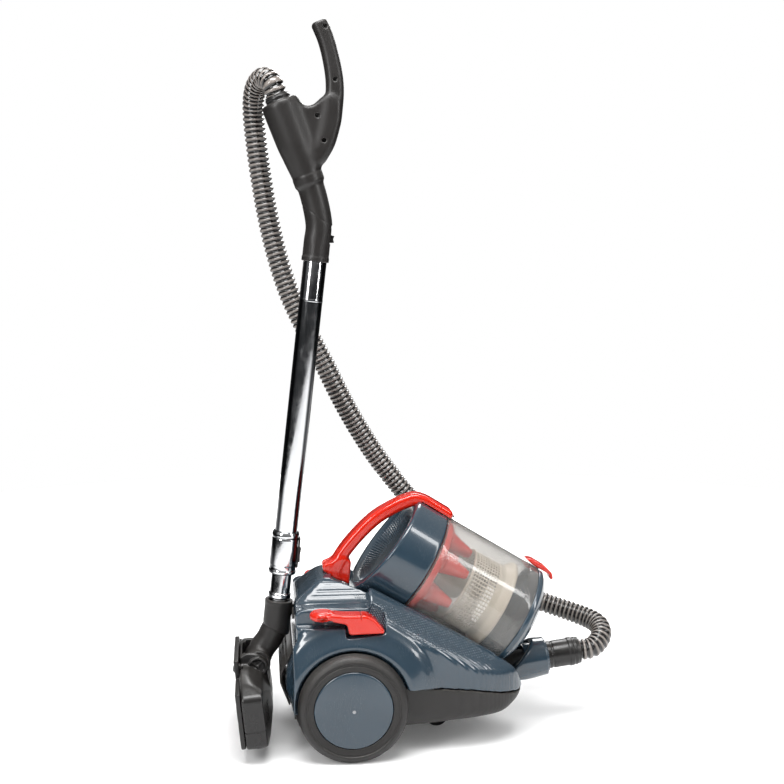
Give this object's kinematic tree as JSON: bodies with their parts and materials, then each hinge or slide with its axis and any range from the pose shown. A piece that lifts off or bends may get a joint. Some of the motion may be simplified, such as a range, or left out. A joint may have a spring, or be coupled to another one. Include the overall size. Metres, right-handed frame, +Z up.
{
  "type": "canister vacuum cleaner",
  "caption": "Bagless canister vacuum cleaner parked upright on its telescopic wand, with a slanted clear cyclone bin, big wheels, ribbed hose and floor head.",
  "frame": {"origin": "middle of the underside of the box round the object without its hose, on the floor", "axes": "+X towards the front of the canister (the hose socket), +Y to its left side, +Z up"},
  "size_m": [0.577, 0.29, 1.0479],
  "materials": {
    "slate_shell": "glossy moulded, slate blue-grey",
    "black_plastic": "fine matt moulded grain, black",
    "dark_plastic": "satin black",
    "red_plastic": "glossy red",
    "chrome_tube": "polished",
    "steel": "turned",
    "clear_bin": "clear tinted plastic",
    "grey_plastic": "satin beige-grey",
    "tyre": "matt soft tread",
    "filter_felt": "non-woven felt",
    "red_flock": "brushed flock",
    "bristle": "bristle strip",
    "hose_skin": "ribbed, satin black"
  },
  "bodies": {
    "canister": {"upper_housing": "slate_shell", "lower_housing": "black_plastic", "rear_grille": "black_plastic", "exhaust_filter": "filter_felt", "motor": "steel", "reel_axle": "steel", "hose_inlet": "slate_shell", "intake_duct": "dark_plastic", "cord_outlet": "dark_plastic", "park_bracket": "black_plastic", "axle_left": "steel", "axle_right": "steel", "wand_neck": "black_plastic", "inner_tube": "chrome_tube", "hose": "hose_skin"},
    "wheel_right": {"tyre_right": "tyre", "hub_right": "slate_shell"},
    "wheel_left": {"tyre_left": "tyre", "hub_left": "slate_shell"},
    "caster": {"caster_fork": "black_plastic", "caster_axle": "steel"},
    "caster_roller": {"caster_wheel": "tyre"},
    "power_pedal": {"pedal_power": "red_plastic"},
    "rewind_pedal": {"pedal_rewind": "red_plastic"},
    "motor_fan": {"fan": "grey_plastic"},
    "reel": {"cord_reel": "grey_plastic"},
    "dust_bin": {"bin_cylinder": "clear_bin", "bin_ring": "red_plastic", "cyclone_cones": "grey_plastic", "bin_core": "red_plastic", "cyclone_shroud": "grey_plastic"},
    "lid": {"bin_lid": "slate_shell", "lid_filter": "filter_felt", "filter_frame": "dark_plastic", "carry_handle": "red_plastic"},
    "release_button": {"handle_button": "grey_plastic"},
    "flap": {"bin_flap": "slate_shell"},
    "latch": {"bin_latch": "red_plastic"},
    "hose_swivel": {"hose_connector": "dark_plastic"},
    "wand_upper": {"outer_tube": "chrome_tube", "tube_collar": "chrome_tube", "handle_tube": "black_plastic", "handgrip": "black_plastic", "hose_cuff": "dark_plastic"},
    "tube_lock": {"tube_slider": "dark_plastic"},
    "air_slider": {"suction_slider": "dark_plastic"},
    "floor_head": {"head_housing": "black_plastic", "head_sole": "dark_plastic", "lint_strip_front": "red_flock", "lint_strip_rear": "red_flock"},
    "brush": {"brush_strip": "bristle"},
    "head_rocker": {"head_pedal": "dark_plastic"},
    "sole_roller_left": {"roller_left": "tyre"},
    "sole_roller_right": {"roller_right": "tyre"}
  },
  "joints": [
    {"name": "wheel_right_spin", "type": "hinge", "parent": "canister", "child": "wheel_right", "pos_m": [-0.09463, -0.128, 0.0785], "axis": [0, 1, 0], "continuous": true},
    {"name": "wheel_left_spin", "type": "hinge", "parent": "canister", "child": "wheel_left", "pos_m": [-0.09463, 0.128, 0.0785], "axis": [0, 1, 0], "continuous": true},
    {"name": "caster_swivel", "type": "hinge", "parent": "canister", "child": "caster", "pos_m": [0.05537, 0, 0.043], "axis": [0, 0, 1], "continuous": true},
    {"name": "caster_roll", "type": "hinge", "parent": "caster", "child": "caster_roller", "pos_m": [0.04137, 0, 0.017], "axis": [0, 1, 0], "continuous": true},
    {"name": "power_pedal_press", "type": "hinge", "parent": "canister", "child": "power_pedal", "pos_m": [-0.05663, -0.113, 0.19], "axis": [0, -1, 0], "range_deg": [0, 5], "stiffness_Nm_per_rad": 2, "springref_deg": -8.59},
    {"name": "rewind_pedal_press", "type": "hinge", "parent": "canister", "child": "rewind_pedal", "pos_m": [-0.05663, 0.113, 0.19], "axis": [0, -1, 0], "range_deg": [0, 5], "stiffness_Nm_per_rad": 2, "springref_deg": -8.59},
    {"name": "fan_spin", "type": "hinge", "parent": "canister", "child": "motor_fan", "pos_m": [-0.07063, 0, 0.1], "axis": [0, 1, 0], "continuous": true},
    {"name": "reel_spin", "type": "hinge", "parent": "canister", "child": "reel", "pos_m": [-0.08863, 0, 0.104], "axis": [0, 1, 0], "continuous": true},
    {"name": "bin_lift", "type": "slide", "parent": "canister", "child": "dust_bin", "axis": [0.515, 0, 0.8572], "range_m": [0, 0.15]},
    {"name": "lid_pull", "type": "slide", "parent": "dust_bin", "child": "lid", "axis": [-0.8572, 0, 0.515], "range_m": [0, 0.016]},
    {"name": "button_press", "type": "slide", "parent": "lid", "child": "release_button", "axis": [-0.515, 0, -0.8572], "range_m": [0, 0.003], "stiffness_N_per_m": 400, "springref_m": -0.003},
    {"name": "flap_open", "type": "hinge", "parent": "dust_bin", "child": "flap", "pos_m": [0.1086, 0, 0.09826], "axis": [0, 1, 0], "range_deg": [0, 11]},
    {"name": "latch_press", "type": "hinge", "parent": "dust_bin", "child": "latch", "pos_m": [0.18875, 0, 0.24913], "axis": [0, -1, 0], "range_deg": [0, 6], "stiffness_Nm_per_rad": 1, "springref_deg": -5.73},
    {"name": "hose_swivel_turn", "type": "hinge", "parent": "canister", "child": "hose_swivel", "pos_m": [0.21137, 0, 0.103], "axis": [0.9912, 0, 0.1323], "continuous": true},
    {"name": "wand_extend", "type": "slide", "parent": "canister", "child": "wand_upper", "axis": [0.1132, 0, 0.9936], "range_m": [0, 0.33], "deforming": ["hose"]},
    {"name": "tube_lock_press", "type": "slide", "parent": "wand_upper", "child": "tube_lock", "axis": [0.1132, 0, 0.9936], "range_m": [0, 0.006], "stiffness_N_per_m": 300, "springref_m": -0.004},
    {"name": "air_slide", "type": "slide", "parent": "wand_upper", "child": "air_slider", "axis": [0.1132, 0, 0.9936], "range_m": [0, 0.012]},
    {"name": "head_swivel", "type": "hinge", "parent": "canister", "child": "floor_head", "pos_m": [-0.22863, 0, 0.113], "axis": [0, 1, 0], "range_deg": [-20, 15]},
    {"name": "rocker_press", "type": "slide", "parent": "floor_head", "child": "head_rocker", "axis": [-0.9945, 0, -0.1045], "range_m": [0, 0.003]},
    {"name": "brush_drop", "type": "slide", "parent": "floor_head", "child": "brush", "axis": [-0.9945, 0, -0.1045], "range_m": [0, 0.003]},
    {"name": "sole_roller_left_spin", "type": "hinge", "parent": "floor_head", "child": "sole_roller_left", "pos_m": [-0.258, 0.048, 0.11494], "axis": [0, 1, 0], "continuous": true},
    {"name": "sole_roller_right_spin", "type": "hinge", "parent": "floor_head", "child": "sole_roller_right", "pos_m": [-0.258, -0.048, 0.11494], "axis": [0, 1, 0], "continuous": true}
  ],
  "couplings": [
    {"joint": "brush_drop", "follows": "rocker_press", "ratio": 1}
  ]
}
